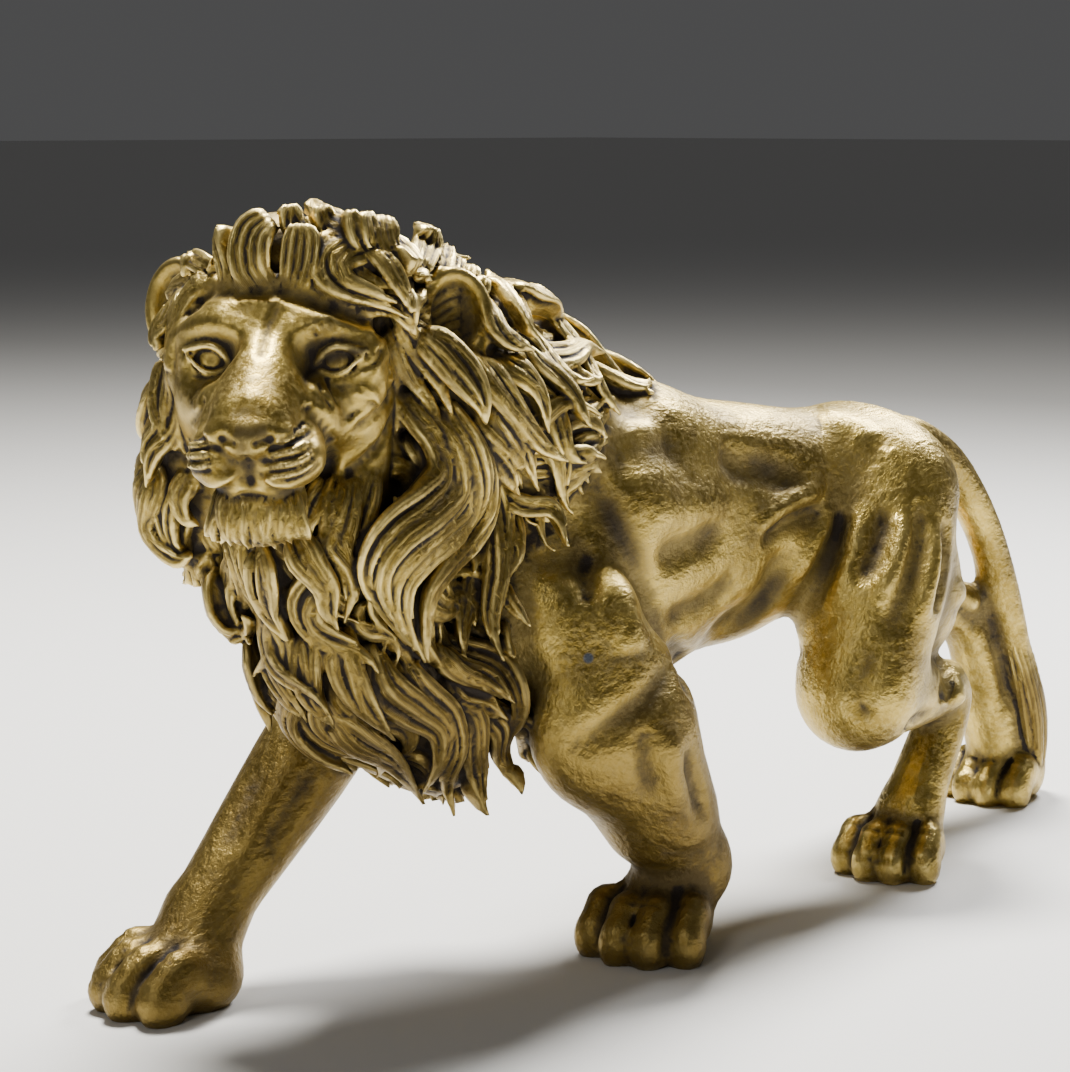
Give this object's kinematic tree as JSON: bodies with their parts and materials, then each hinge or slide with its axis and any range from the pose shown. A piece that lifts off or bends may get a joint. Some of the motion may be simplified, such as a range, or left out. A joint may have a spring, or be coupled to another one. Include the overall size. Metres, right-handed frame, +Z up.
{
  "type": "lion sculpture",
  "caption": "Walking lion with its head turned to its left, cast in one piece, standing on its four feet, with a deeply carved mane.",
  "frame": {"origin": "on the ground, under the middle of the box round the lion", "axes": "+Z up, the lion walks towards -X, and its left side faces -Y"},
  "size_m": [0.4392, 0.114, 0.2423],
  "materials": {
    "antique_gold": "antique gold paint over a resin cast, worn bright on high places, with a dark brown wash left in the hollows"
  },
  "bodies": {
    "root": {"lion": "antique_gold"}
  },
  "joints": []
}
